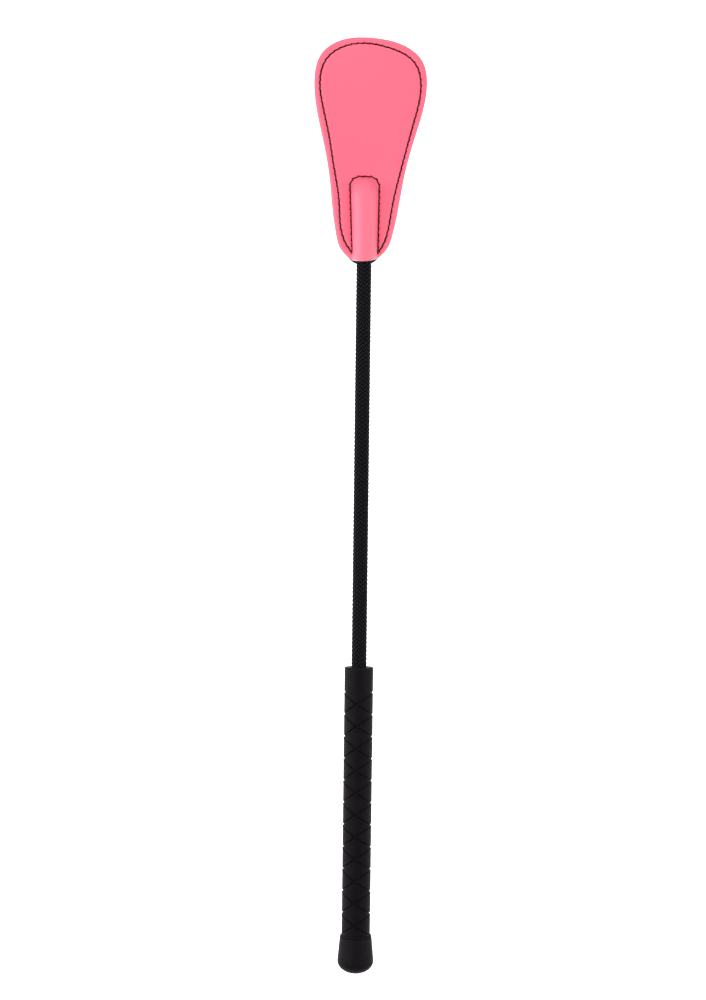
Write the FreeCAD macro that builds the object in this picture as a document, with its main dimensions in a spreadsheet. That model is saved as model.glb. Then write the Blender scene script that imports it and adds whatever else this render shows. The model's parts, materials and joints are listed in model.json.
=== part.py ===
"""Riding crop: braided fibreglass shaft, rubber grip with a butt cap, and a wide stitched leather tongue.

Units are millimetres. The crop lies flat: +Y runs along the shaft towards the tongue and +Z is the side that
the tongue's pink face looks to. The origin is on the shaft's axis, at the middle of the grip's plain collar.
"""
import FreeCAD, Part
import Sketcher
import math
import os

DIMENSIONS = [
    # the shaft
    ("shaft_radius", 5.05, "outside of the braid"),
    ("braid_thickness", 1.2, "wall of the braided cover"),
    ("rod_radius", 2.6, "fibreglass core"),
    ("shaft_exposed", 279.8, "from the grip's top to the tongue's base"),
    ("shaft_in_handle", 60.5, "braided length hidden in the handle"),
    ("shaft_in_tongue", 52.5, "length in the tongue's pocket"),
    ("whipping_length", 8.0, "thread binding at each end of the braid"),
    ("flex_height", 70.0, "lumped bending point of the shaft above the grip"),
    # the handle
    ("collar_length", 17.0, "plain collar above the grip's pattern"),
    ("grip_length", 185.9, "grip's top to the cap's rim"),
    ("grip_radius", 9.9, "grip at the collar"),
    ("grip_foot_radius", 9.72, "grip at the cap"),
    ("grip_wall_radius", 7.2, "bore of the grip, outside of the handle tube"),
    ("grip_lip", 4.5, "thickness of the rubber lip around the shaft"),
    ("grip_rounding", 0.8, "rounding of the grip's top edge"),
    ("tube_bore_radius", 6.0, "bore of the handle tube"),
    ("bush_length", 22.0, "bush that centres the shaft in the tube"),
    ("plug_length", 18.0, "plug in the lower end of the tube"),
    ("plug_flange", 2.0, "flange of the plug"),
    ("plug_socket", 14.0, "depth of the rod in the plug"),
    ("cap_length", 26.7, "butt cap from rim to end"),
    ("cap_rim_radius", 10.95, "cap at its rim"),
    ("cap_radius", 12.55, "cap at its widest"),
    ("cap_flare", 18.0, "rim to the widest place"),
    ("cap_socket", 14.0, "depth of the grip in the cap"),
    ("cap_rounding", 7.9, "rounding of the butt end"),
    ("cap_rim_rounding", 0.5, "rounding of the cap's rim"),
    # the tongue
    ("back_thickness", 1.8, "black back panel"),
    ("core_thickness", 1.0, "interlining"),
    ("front_thickness", 2.0, "pink front panel"),
    ("tongue_lean", 1.73, "degrees that the tongue leans to +X"),
    ("tongue_shift", 0.72, "tongue's base to the -X side of the shaft"),
    ("tongue_skew", 0.044, "fall of the top edge towards +X, per millimetre"),
    ("front_trim", 1.3, "pink panel's base above the black panel's"),
    ("core_trim", 2.0, "interlining's base above the black panel's"),
    ("slot_half", 3.2, "half width of the slot in the interlining"),
    ("flap_height", 72.5, "bending line of the tongue above its base"),
    ("hinge_gap", 2.0, "clearance at each lumped bending point"),
    ("corner_height", 5.0, "ends of the rounded base"),
    ("corner_half", 10.3, "half width at the ends of the base"),
    ("heel_height", 12.0, "outline station"),
    ("heel_half", 16.6, "outline station"),
    ("neck_height", 22.0, "outline station"),
    ("neck_half", 19.95, "outline station"),
    ("waist_height", 38.0, "outline station"),
    ("waist_half", 22.9, "outline station"),
    ("slope_height", 58.0, "outline station"),
    ("slope_half", 25.6, "outline station"),
    ("flare_height", 82.0, "outline station"),
    ("flare_half", 30.45, "outline station"),
    ("chest_height", 108.0, "outline station"),
    ("chest_half", 37.1, "outline station"),
    ("widest_height", 128.0, "outline station"),
    ("widest_half", 39.4, "outline station"),
    ("shoulder_height", 145.0, "outline station"),
    ("shoulder_half", 35.3, "outline station"),
    ("crown_height", 155.5, "outline station"),
    ("crown_half", 20.95, "outline station"),
    ("tongue_length", 158.55, "height of the top above the base"),
    # the stitching
    ("stitch_pitch", 4.3, "from stitch to stitch"),
    ("stitch_gap", 1.1, "hole between two stitches"),
    ("thread_width", 0.7, "width of a stitch"),
    ("thread_height", 0.35, "height of a stitch above the leather"),
    ("seam_start", 8.1, "lower end of the seams above the base"),
    ("seam_end_out", 0.9, "edge seam's ends outside the pocket seam's ends"),
    ("seam_end_up", 1.2, "edge seam's ends above the pocket seam's ends"),
    ("inset_right_heel", 3.5, "edge seam inside the outline"),
    ("inset_right_neck", 3.9, "edge seam inside the outline"),
    ("inset_right_waist", 4.6, "edge seam inside the outline"),
    ("inset_right_slope", 3.8, "edge seam inside the outline"),
    ("inset_right_flare", 3.25, "edge seam inside the outline"),
    ("inset_right_chest", 4.0, "edge seam inside the outline"),
    ("inset_right_widest", 4.3, "edge seam inside the outline"),
    ("inset_right_shoulder", 5.45, "edge seam inside the outline"),
    ("inset_right_crown", 5.5, "edge seam inside the outline"),
    ("inset_left_crown", 5.15, "edge seam inside the outline"),
    ("inset_left_shoulder", 5.35, "edge seam inside the outline"),
    ("inset_left_widest", 4.1, "edge seam inside the outline"),
    ("inset_left_chest", 4.75, "edge seam inside the outline"),
    ("inset_left_flare", 4.7, "edge seam inside the outline"),
    ("inset_left_slope", 4.2, "edge seam inside the outline"),
    ("inset_left_waist", 5.25, "edge seam inside the outline"),
    ("inset_left_neck", 4.1, "edge seam inside the outline"),
    ("inset_left_heel", 4.85, "edge seam inside the outline"),
    ("pocket_half_top", 10.2, "half width of the pocket seam at its top"),
    ("pocket_half_foot", 8.85, "half width of the pocket seam at its foot"),
    ("pocket_height", 61.4, "top of the pocket seam above the base"),
    ("pocket_corner", 6.5, "corner radius of the pocket seam"),
    ("pocket_shift", 0.8, "pocket seam's foot to the +X side of the shaft"),
    ("pocket_lean", 1.0, "degrees that the pocket seam leans to -X"),
]

STATIONS = ["corner", "heel", "neck", "waist", "slope", "flare", "chest", "widest", "shoulder", "crown"]
# Distance of the edge seam from the outline, at shares of the way round from the right to the left corner.
SEAM_INSETS = [
    (0.02, "inset_right_heel"),
    (0.05, "inset_right_neck"),
    (0.1, "inset_right_waist"),
    (0.15, "inset_right_slope"),
    (0.21, "inset_right_flare"),
    (0.27, "inset_right_chest"),
    (0.34, "inset_right_widest"),
    (0.39, "inset_right_shoulder"),
    (0.46, "inset_right_crown"),
    (0.55, "inset_left_crown"),
    (0.605, "inset_left_shoulder"),
    (0.655, "inset_left_widest"),
    (0.71, "inset_left_chest"),
    (0.77, "inset_left_flare"),
    (0.83, "inset_left_slope"),
    (0.885, "inset_left_waist"),
    (0.94, "inset_left_neck"),
    (0.975, "inset_left_heel"),
]
# Number of equal steps that the outline is divided into to find those shares.
SEAM_SAMPLES = 200


class Size:
    """A length that knows its value and the sheet expression that gives it."""

    def __init__(self, value, text):
        self.value = value
        self.text = text

    def _join(self, other, sign, value):
        text = other.text if isinstance(other, Size) else repr(other)
        return Size(value, f"({self.text} {sign} {text})")

    def __add__(self, other):
        return self._join(other, "+", self.value + number(other))

    def __sub__(self, other):
        return self._join(other, "-", self.value - number(other))

    def __mul__(self, other):
        return self._join(other, "*", self.value * number(other))

    def __neg__(self):
        return Size(-self.value, f"(-1 * {self.text})")


def number(size):
    """The plain value of a Size or a number."""
    return size.value if isinstance(size, Size) else float(size)


doc = FreeCAD.newDocument("riding_crop")
sheet = doc.addObject("Spreadsheet::Sheet", "Sizes")
for row, (alias, value, note) in enumerate(DIMENSIONS, start=1):
    sheet.set(f"A{row}", alias)
    sheet.set(f"B{row}", str(value))
    sheet.set(f"C{row}", note)
    sheet.setAlias(f"B{row}", alias)
doc.recompute()
size = {alias: Size(float(sheet.get(alias)), f"Sizes.{alias}") for alias, _, _ in DIMENSIONS}
ZERO = Size(0.0, "0")

# Places along the crop's axis, from the butt to the tongue.
grip_top = size["collar_length"] * 0.5
cap_rim = grip_top - size["grip_length"]
cap_end = cap_rim - size["cap_length"]
cap_widest = cap_rim - size["cap_flare"]
grip_foot = cap_rim - size["cap_socket"]
tube_foot = grip_foot + size["plug_flange"]
tube_top = grip_top - size["grip_lip"]
shaft_foot = grip_top - size["shaft_in_handle"]
shaft_bend = grip_top + size["flex_height"]
tongue_base = grip_top + size["shaft_exposed"]
shaft_tip = tongue_base + size["shaft_in_tongue"]
tongue_bend = tongue_base + size["flap_height"]

# Heights of the tongue's layers: the shaft lies on the back panel's inner face.
back_top = -size["shaft_radius"]
back_bottom = back_top - size["back_thickness"]
core_top = back_top + size["core_thickness"]
front_top = core_top + size["front_thickness"]
braid_bore = size["shaft_radius"] - size["braid_thickness"]

sub_parts = []


# ---------------------------------------------------------------- drawing helpers
def new_body(label):
    body = doc.addObject("PartDesign::Body", label)
    body.Label = label
    sub_parts.append(body)
    return body


def new_sketch(body, name, role="XY_Plane", height=None):
    """A sketch on one of the body's own origin planes, lifted off it by height."""
    sketch = body.newObject("Sketcher::SketchObject", name)
    plane = next(f for f in body.Origin.OriginFeatures if f.Role == role)
    sketch.AttachmentSupport = [(plane, "")]
    sketch.MapMode = "FlatFace"
    if height is not None:
        sketch.setExpression("AttachmentOffset.Base.z", height.text)
    return sketch


def hold_point(sketch, line, x, y, name):
    """Ties the start of a line to its place from the sketch's origin."""
    for kind, size_, axis in (("DistanceX", x, -2), ("DistanceY", y, -1)):
        if abs(number(size_)) < 1e-9:
            sketch.addConstraint(Sketcher.Constraint("PointOnObject", line, 1, axis))
            continue
        index = sketch.addConstraint(Sketcher.Constraint(kind, -1, 1, line, 1, number(size_)))
        label = f"{name}_{kind[-1].lower()}"
        sketch.renameConstraint(index, label)
        sketch.setExpression(f"Constraints.{label}", size_.text)


def draw_polygon(sketch, corners):
    """A closed outline of straight lines whose corners are bound to the sheet."""
    places = [FreeCAD.Vector(number(x), number(y), 0) for x, y in corners]
    count = len(places)
    lines = [Part.LineSegment(places[i], places[(i + 1) % count]) for i in range(count)]
    sketch.addGeometry(lines, False)
    for i in range(count):
        sketch.addConstraint(Sketcher.Constraint("Coincident", i, 2, (i + 1) % count, 1))
    for i, (x, y) in enumerate(corners):
        hold_point(sketch, i, x, y, f"corner{i}")


def turned(label, corners):
    """A body turned about the crop's axis from an outline of (radius, place along Y)."""
    body = new_body(label)
    sketch = new_sketch(body, f"{label}_outline")
    draw_polygon(sketch, corners)
    turn = body.newObject("PartDesign::Revolution", f"{label}_turn")
    turn.Profile = sketch
    turn.ReferenceAxis = (sketch, ["V_Axis"])
    turn.Angle = 360
    return body


def tube(label, bore, radius, low, high):
    """A straight ring, or a solid rod where the bore is zero."""
    return turned(label, [(bore, low), (radius, low), (radius, high), (bore, high)])


def round_edge(body, radius, place, rounding):
    """Rounds the circular edge of that radius at that place along Y."""
    doc.recompute()
    sharp = body.Tip
    names = [
        f"Edge{i + 1}"
        for i, edge in enumerate(sharp.Shape.Edges)
        if edge.BoundBox.YLength < 1e-6
        and abs(edge.BoundBox.YMin - number(place)) < 1e-6
        and abs(edge.BoundBox.XMax - number(radius)) < 1e-6
    ]
    fillet = body.newObject("PartDesign::Fillet", f"{body.Name}_rounding")
    fillet.Base = (sharp, names)
    fillet.setExpression("Radius", rounding.text)
    return fillet


# ---------------------------------------------------------------- the handle
def make_grip():
    """Rubber sleeve with an inward lip at the top that closes around the shaft."""
    wall, lip_bottom = size["grip_wall_radius"], tube_top
    grip = turned(
        "grip_sleeve",
        [
            (wall, grip_foot),
            (size["grip_foot_radius"], grip_foot),
            (size["grip_foot_radius"], cap_rim),
            (size["grip_radius"], -grip_top),
            (size["grip_radius"], grip_top),
            (size["shaft_radius"], grip_top),
            (size["shaft_radius"], lip_bottom),
            (wall, lip_bottom),
        ],
    )
    round_edge(grip, size["grip_radius"], grip_top, size["grip_rounding"])


def make_cap():
    """Rubber cup over the grip's lower end, flared and rounded at the butt."""
    cap = turned(
        "butt_cap",
        [
            (ZERO, cap_end),
            (size["cap_radius"], cap_end),
            (size["cap_radius"], cap_widest),
            (size["cap_rim_radius"], cap_rim),
            (size["grip_foot_radius"], cap_rim),
            (size["grip_foot_radius"], grip_foot),
            (ZERO, grip_foot),
        ],
    )
    round_edge(cap, size["cap_radius"], cap_end, size["cap_rounding"])
    rim = round_edge(cap, size["cap_rim_radius"], cap_rim, size["cap_rim_rounding"])
    rim.Label = "butt_cap_rim_rounding"


def make_handle_inside():
    """Rigid tube, the bush that centres the shaft at its top, and the plug at its foot."""
    bore, wall = size["tube_bore_radius"], size["grip_wall_radius"]
    tube("handle_tube", bore, wall, tube_foot, tube_top)
    tube("handle_top_bush", size["shaft_radius"], bore, tube_top - size["bush_length"], tube_top)
    plug_top = tube_foot + size["plug_length"]
    socket = plug_top - size["plug_socket"]
    turned(
        "handle_butt_plug",
        [
            (ZERO, grip_foot),
            (wall, grip_foot),
            (wall, tube_foot),
            (bore, tube_foot),
            (bore, plug_top),
            (size["rod_radius"], plug_top),
            (size["rod_radius"], socket),
            (ZERO, socket),
        ],
    )
    return socket


# ---------------------------------------------------------------- the shaft
def make_shaft(rod_foot):
    """Core rod, filler and braid, each in two lengths that meet at the bending point."""
    rod, outside = size["rod_radius"], size["shaft_radius"]
    bend_foot = shaft_bend - size["hinge_gap"]
    binding = size["whipping_length"]
    braid_foot, braid_tip = shaft_foot + binding, shaft_tip - binding - size["rod_radius"]
    tube("core_rod_lower", ZERO, rod, rod_foot, bend_foot)
    tube("shaft_filler_lower", rod, braid_bore, shaft_foot, bend_foot)
    tube("shaft_braid_lower", braid_bore, outside, braid_foot, bend_foot)
    tube("butt_whipping", braid_bore, outside, shaft_foot, braid_foot)
    tube("core_rod_upper", ZERO, rod, shaft_bend, braid_tip + binding)
    tube("shaft_filler_upper", rod, braid_bore, shaft_bend, braid_tip)
    tube("shaft_braid_upper", braid_bore, outside, shaft_bend, braid_tip)
    tube("tip_whipping", braid_bore, outside, braid_tip, braid_tip + binding)
    cap = turned(
        "rod_tip_cap",
        [
            (ZERO, braid_tip + binding),
            (rod, braid_tip + binding),
            (rod, braid_tip),
            (braid_bore, braid_tip),
            (braid_bore, shaft_tip),
            (ZERO, shaft_tip),
        ],
    )
    round_edge(cap, braid_bore, shaft_tip, size["braid_thickness"])


# ---------------------------------------------------------------- the tongue
def tongue_point(across, up):
    """A place on the tongue, from its own leaning centre line and base, in the crop's frame."""
    lean = math.radians(number(size["tongue_lean"]))
    drop = number(size["tongue_skew"]) * across * (up / number(size["tongue_length"])) ** 4
    height = up - drop
    x = across * math.cos(lean) + height * math.sin(lean) - number(size["tongue_shift"])
    y = height * math.cos(lean) - across * math.sin(lean) * (up / number(size["tongue_length"]))
    return FreeCAD.Vector(x, number(tongue_base) + y, 0)


def side_curve():
    """The one smooth curve round the tongue's sides and top, from its right to its left corner."""
    side = [(number(size[f"{name}_half"]), number(size[f"{name}_height"])) for name in STATIONS]
    top = [(0.0, number(size["tongue_length"]))]
    stations = side + top + [(-across, up) for across, up in reversed(side)]
    curve = Part.BSplineCurve()
    curve.interpolate([tongue_point(across, up) for across, up in stations])
    return curve


def base_arc(trim):
    """The rounded base between the corners, its lowest place trim above the black panel's."""
    half, up = number(size["corner_half"]), number(size["corner_height"])
    return Part.Arc(tongue_point(-half, up), tongue_point(0.0, number(trim)), tongue_point(half, up))


def draw_outline(sketch, trim):
    """The tongue's closed outline: sides and top, then the base."""
    sketch.addGeometry([side_curve(), base_arc(trim)], False)
    sketch.addConstraint(Sketcher.Constraint("Coincident", 0, 2, 1, 1))
    sketch.addConstraint(Sketcher.Constraint("Coincident", 1, 2, 0, 1))


def panel(label, bottom, thickness, trim, is_flap):
    """One layer of the tongue, cut off at the bending line."""
    body = new_body(label)
    outline = new_sketch(body, f"{label}_outline", height=bottom)
    draw_outline(outline, trim)
    pad = body.newObject("PartDesign::Pad", f"{label}_pad")
    pad.Profile = outline
    pad.setExpression("Length", thickness.text)
    reach = size["tongue_length"]
    if is_flap:
        cut_off(body, "other_end", -reach, reach, tongue_base - reach, tongue_bend, bottom)
    else:
        low = tongue_bend - size["hinge_gap"]
        cut_off(body, "other_end", -reach, reach, low, tongue_bend + reach, bottom)
    return body


def cut_off(body, name, left, right, low, high, bottom):
    """Pockets a rectangle upwards from bottom, and checks that it took something away."""
    doc.recompute()
    before = body.Shape.Volume
    sketch = new_sketch(body, f"{body.Name}_{name}_outline", height=bottom)
    draw_polygon(sketch, [(left, low), (right, low), (right, high), (left, high)])
    pocket = body.newObject("PartDesign::Pocket", f"{body.Name}_{name}")
    pocket.Profile = sketch
    pocket.Type = "ThroughAll"
    pocket.Reversed = True
    doc.recompute()
    if not body.Shape.Volume < before - 1:
        raise RuntimeError(f"{body.Name}: {name} cut nothing")


def trim_base(body, trim, bottom):
    """Takes away what lies below the base's arc, upwards from bottom."""
    arc = base_arc(trim)
    drop = FreeCAD.Vector(0, number(size["tongue_length"]), 0)
    low_left, low_right = arc.StartPoint - drop, arc.EndPoint - drop
    sketch = new_sketch(body, f"{body.Name}_base_outline", height=bottom)
    lines = [
        Part.LineSegment(arc.EndPoint, low_right),
        Part.LineSegment(low_right, low_left),
        Part.LineSegment(low_left, arc.StartPoint),
    ]
    sketch.addGeometry([arc] + lines, False)
    for first in range(4):
        sketch.addConstraint(Sketcher.Constraint("Coincident", first, 2, (first + 1) % 4, 1))
    pocket = body.newObject("PartDesign::Pocket", f"{body.Name}_base")
    pocket.Profile = sketch
    pocket.Type = "ThroughAll"
    pocket.Reversed = True


def make_front_root():
    """Front panel up to the bending line, with the round sheath that it forms over the shaft."""
    label = "tongue_front_root"
    body = new_body(label)
    outside = size["shaft_radius"] + size["front_thickness"]
    foot, tip = tongue_base + size["front_trim"], shaft_tip + size["front_thickness"]
    sheath = new_sketch(body, f"{label}_sheath_outline")
    draw_polygon(sheath, [(ZERO, foot), (outside, foot), (outside, tip), (ZERO, tip)])
    turn = body.newObject("PartDesign::Revolution", f"{label}_sheath")
    turn.Profile = sheath
    turn.ReferenceAxis = (sheath, ["V_Axis"])
    turn.Angle = 360
    round_edge(body, outside, tip, size["shaft_radius"])
    reach = size["tongue_length"]
    low = tongue_base - reach
    below = new_sketch(body, f"{label}_below_outline", height=core_top)
    draw_polygon(below, [(-reach, low), (reach, low), (reach, tongue_bend), (-reach, tongue_bend)])
    pocket = body.newObject("PartDesign::Pocket", f"{label}_below")
    pocket.Profile = below
    pocket.Type = "ThroughAll"
    trim_base(body, size["front_trim"], core_top)
    flat = new_sketch(body, f"{label}_outline", height=core_top)
    draw_outline(flat, size["front_trim"])
    pad = body.newObject("PartDesign::Pad", f"{label}_pad")
    pad.Profile = flat
    pad.setExpression("Length", size["front_thickness"].text)
    bore = new_sketch(body, f"{label}_bore_outline")
    inside = size["shaft_radius"]
    draw_polygon(bore, [(ZERO, low), (inside, low), (inside, shaft_tip), (ZERO, shaft_tip)])
    groove = body.newObject("PartDesign::Groove", f"{label}_bore")
    groove.Profile = bore
    groove.ReferenceAxis = (bore, ["V_Axis"])
    groove.Angle = 360
    cut_off(body, "other_end", -reach, reach, tongue_bend - size["hinge_gap"], tongue_bend + reach, core_top)


def make_tongue():
    make_front_root()
    front, core, back = size["front_thickness"], size["core_thickness"], size["back_thickness"]
    panel("tongue_front_flap", core_top, front, size["front_trim"], True)
    core_root = panel("tongue_core_root", back_top, core, size["core_trim"], False)
    slot = size["slot_half"]
    cut_off(core_root, "slot", -slot, slot, tongue_base - slot, shaft_tip + slot, back_top)
    panel("tongue_core_flap", back_top, core, size["core_trim"], True)
    panel("tongue_back_root", back_bottom, back, ZERO, False)
    panel("tongue_back_flap", back_bottom, back, ZERO, True)


# ---------------------------------------------------------------- the stitching
def edge_seam():
    """The seam along the tongue's edge, which starts and ends beside the feet of the pocket's seam."""
    outline = side_curve()
    spread = outline.toShape().discretize(Number=SEAM_SAMPLES + 1)
    end_across = number(size["pocket_half_foot"]) + number(size["seam_end_out"])
    end_up = number(size["seam_start"]) + number(size["seam_end_up"])
    places = [pocket_point(end_across, end_up)]
    for share, name in SEAM_INSETS:
        edge_point = spread[round(share * SEAM_SAMPLES)]
        along = outline.tangent(outline.parameter(edge_point))[0]
        inward = FreeCAD.Vector(-along.y, along.x, 0)
        places.append(edge_point + inward * number(size[name]))
    places.append(pocket_point(-end_across, end_up))
    curve = Part.BSplineCurve()
    curve.interpolate(places)
    return stitches_along(curve.toShape())


def pocket_point(across, up):
    """A place on the pocket's seam, which leans a little to the other side than the tongue."""
    lean = math.radians(number(size["pocket_lean"]))
    x = across + number(size["pocket_shift"]) - up * math.sin(lean)
    return FreeCAD.Vector(x, number(tongue_base) + up, 0)


def pocket_seam():
    """The seam round the shaft's pocket: two sides that meet in a round-cornered top."""
    foot, top = number(size["pocket_half_foot"]), number(size["pocket_half_top"])
    low, high, corner = (number(size[n]) for n in ("seam_start", "pocket_height", "pocket_corner"))
    diagonal = corner * (1 - math.sqrt(0.5))
    left = [(-foot, low), (-top, high - corner), (-top + diagonal, high - diagonal), (-top + corner, high)]
    places = left + [(-across, up) for across, up in reversed(left)]
    points = [pocket_point(across, up) for across, up in places]
    edges = [
        Part.makeLine(points[0], points[1]),
        Part.Arc(*points[1:4]).toShape(),
        Part.makeLine(points[3], points[4]),
        Part.Arc(*points[4:7]).toShape(),
        Part.makeLine(points[6], points[7]),
    ]
    return stitches_along(Part.Wire(edges))


def stitches_along(path):
    """Start and end of each stitch along a path, one stitch pitch apart."""
    count = round(path.Length / number(size["stitch_pitch"])) + 1
    holes = path.discretize(Number=count)
    return list(zip(holes, holes[1:]))


def stitch_solids(stitches, height):
    """One low block for each stitch."""
    width, rise, gap = (number(size[n]) for n in ("thread_width", "thread_height", "stitch_gap"))
    solids = []
    for start, end in stitches:
        run = end - start
        length = run.Length - gap
        block = Part.makeBox(length, width, rise, FreeCAD.Vector(-length / 2, -width / 2, 0))
        turn = FreeCAD.Rotation(FreeCAD.Vector(0, 0, 1), math.degrees(math.atan2(run.y, run.x)))
        middle = (start + end) * 0.5
        block.Placement = FreeCAD.Placement(FreeCAD.Vector(middle.x, middle.y, height), turn)
        solids.append(block)
    return solids


def add_stitches(label, solids):
    feature = doc.addObject("Part::Feature", label)
    feature.Label = label
    feature.Shape = Part.makeCompound(solids)
    feature.Placement = FreeCAD.Placement()
    sub_parts.append(feature)


def make_stitches():
    """Rows on the front and on the back: the edge row is shared by the root and the flap."""
    front, back = number(front_top), number(back_bottom) - number(size["thread_height"])
    rows = {"root": [], "flap": []}
    bend, gap = number(tongue_bend), number(size["hinge_gap"])
    for height in (front, back):
        for block in stitch_solids(edge_seam(), height):
            if block.BoundBox.YMin > bend:
                rows["flap"].append(block)
            elif block.BoundBox.YMax < bend - gap:
                rows["root"].append(block)
        for block in stitch_solids(pocket_seam(), height):
            rows.setdefault("pocket", []).append(block)
    add_stitches("edge_stitches_root", rows["root"])
    add_stitches("edge_stitches_flap", rows["flap"])
    add_stitches("pocket_stitches", rows["pocket"])


# ---------------------------------------------------------------- checks and files
def check_document():
    for item in doc.Objects:
        if {"Invalid", "Error"} & set(item.State):
            raise RuntimeError(f"{item.Label} failed: {item.State}")
    for part in sub_parts:
        if part.Shape.isNull() or not part.Shape.isValid():
            raise RuntimeError(f"{part.Label} has no valid shape")


make_grip()
make_cap()
make_shaft(make_handle_inside())
make_tongue()
make_stitches()
doc.recompute()
check_document()

os.makedirs("parts", exist_ok=True)
for part in sub_parts:
    part.Shape.exportStep(os.path.join("parts", f"{part.Label}.step"))
    box = part.Shape.BoundBox
    print(f"{part.Label:22s} {part.Shape.Volume:10.1f} mm3  solids {len(part.Shape.Solids)}"
          f"  Y {box.YMin:8.2f} {box.YMax:8.2f}  Z {box.ZMin:7.2f} {box.ZMax:7.2f}")
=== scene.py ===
"""Riding crop: stitched pink leather tongue, braided shaft, grooved rubber grip and butt cap.

The crop lies along Y with the tongue's pink face towards +Z. Shapes are drawn in millimetres and turned
into metres when a mesh is made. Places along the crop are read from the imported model.
"""
import json
import math

import bmesh
import bpy
import numpy as np
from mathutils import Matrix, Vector
from mathutils.geometry import delaunay_2d_cdt
from mathutils.kdtree import KDTree


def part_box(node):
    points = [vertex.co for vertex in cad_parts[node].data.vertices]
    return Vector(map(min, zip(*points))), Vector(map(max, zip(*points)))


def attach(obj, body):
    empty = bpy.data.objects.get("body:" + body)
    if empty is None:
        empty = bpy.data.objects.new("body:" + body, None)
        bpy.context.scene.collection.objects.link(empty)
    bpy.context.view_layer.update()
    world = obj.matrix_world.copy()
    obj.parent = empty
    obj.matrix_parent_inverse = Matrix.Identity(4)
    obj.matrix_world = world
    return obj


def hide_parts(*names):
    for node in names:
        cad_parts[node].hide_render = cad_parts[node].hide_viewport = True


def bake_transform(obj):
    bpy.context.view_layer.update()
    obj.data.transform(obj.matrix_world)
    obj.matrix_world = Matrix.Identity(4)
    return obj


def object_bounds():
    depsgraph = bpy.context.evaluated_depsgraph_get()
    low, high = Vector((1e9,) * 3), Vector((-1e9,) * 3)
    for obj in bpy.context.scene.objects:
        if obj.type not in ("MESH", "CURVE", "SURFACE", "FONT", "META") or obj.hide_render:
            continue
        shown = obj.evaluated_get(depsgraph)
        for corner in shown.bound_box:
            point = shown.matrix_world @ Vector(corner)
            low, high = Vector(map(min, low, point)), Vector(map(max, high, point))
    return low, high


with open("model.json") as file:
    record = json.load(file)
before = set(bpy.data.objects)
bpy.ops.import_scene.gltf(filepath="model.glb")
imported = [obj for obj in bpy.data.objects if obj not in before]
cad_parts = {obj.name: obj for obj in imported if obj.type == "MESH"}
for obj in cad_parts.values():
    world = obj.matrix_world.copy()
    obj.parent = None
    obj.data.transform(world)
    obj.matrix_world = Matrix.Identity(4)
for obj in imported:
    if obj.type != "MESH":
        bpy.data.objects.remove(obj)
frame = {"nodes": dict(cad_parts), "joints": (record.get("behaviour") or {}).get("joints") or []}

MM = 0.001
FRONT = math.pi / 2  # angle round the crop that faces the camera
cad_low, cad_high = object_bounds()
RANDOM = np.random.default_rng(7)


def span(node, axis):
    """Lowest and highest place of a CAD node along an axis, in millimetres."""
    low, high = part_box(node)
    return low[axis] / MM, high[axis] / MM


# ------------------------------------------------------------------ places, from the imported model
SHAFT_RADIUS = span("shaft_braid_upper", 0)[1]
GRIP_RADIUS = span("grip_sleeve", 0)[1]
GRIP_TOP = span("grip_sleeve", 1)[1]
GRIP_FOOT = span("grip_sleeve", 1)[0]
CAP_END, CAP_RIM = span("butt_cap", 1)
CAP_RADIUS = span("butt_cap", 0)[1]
TONGUE_BASE = span("tongue_back_root", 1)[0]
FRONT_TOP = span("tongue_front_flap", 2)[1]
CORE_TOP = span("tongue_core_flap", 2)[1]
BACK_BOTTOM, BACK_TOP = span("tongue_back_flap", 2)
SHAFT_TIP = span("rod_tip_cap", 1)[1]
JOINTS = {joint["name"]: joint for joint in frame["joints"]}
TONGUE_BEND = JOINTS["tongue_flex"]["pos_m"][1] / MM


# ------------------------------------------------------------------ camera, light and floor
CAMERA_PLACE = (-5.6, 124.4, 1216.0)
CAMERA_ROLL = 0.71
CAMERA_LENS = 63.0
FLOOR_DROP = 0.3  # metres under the crop, clear of the poses that bend downwards
FLOOR_HALF = 60.0
LIGHT_TARGET = (0, 0.12, 0)
LIGHTS = [  # name, place, size, power
    ("key_left", (-1.1, 0.2, 1.0), (1.0, 1.6), 17),
    ("low_left", (-1.6, 0.2, 0.42), (0.5, 1.6), 14),
    ("fill_right", (1.3, 0.15, 0.8), (0.8, 1.5), 17),
    ("top_back", (0.0, 1.6, 1.0), (1.2, 0.6), 10),
    ("low_front", (0.1, -1.4, 1.0), (1.2, 0.6), 4),
]
SKY_STRENGTH = 0.25


def make_camera():
    """Square above the crop, which leans 0.7 degrees in the picture."""
    data = bpy.data.cameras.new("camera")
    data.lens = CAMERA_LENS
    data.sensor_width = 36.0
    camera = bpy.data.objects.new("camera", data)
    bpy.context.scene.collection.objects.link(camera)
    camera.location = Vector(CAMERA_PLACE) * MM
    camera.rotation_euler = (0, 0, math.radians(CAMERA_ROLL))
    bpy.context.scene.camera = camera


def add_light(name, place, size, power):
    """A soft rectangular light that looks at the crop's middle."""
    data = bpy.data.lights.new(name, "AREA")
    data.shape = "RECTANGLE"
    data.size, data.size_y = size
    data.energy = power
    light = bpy.data.objects.new(name, data)
    bpy.context.scene.collection.objects.link(light)
    light.location = place
    aim = Vector(LIGHT_TARGET) - Vector(place)
    light.rotation_euler = aim.to_track_quat("-Z", "Y").to_euler()


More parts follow.
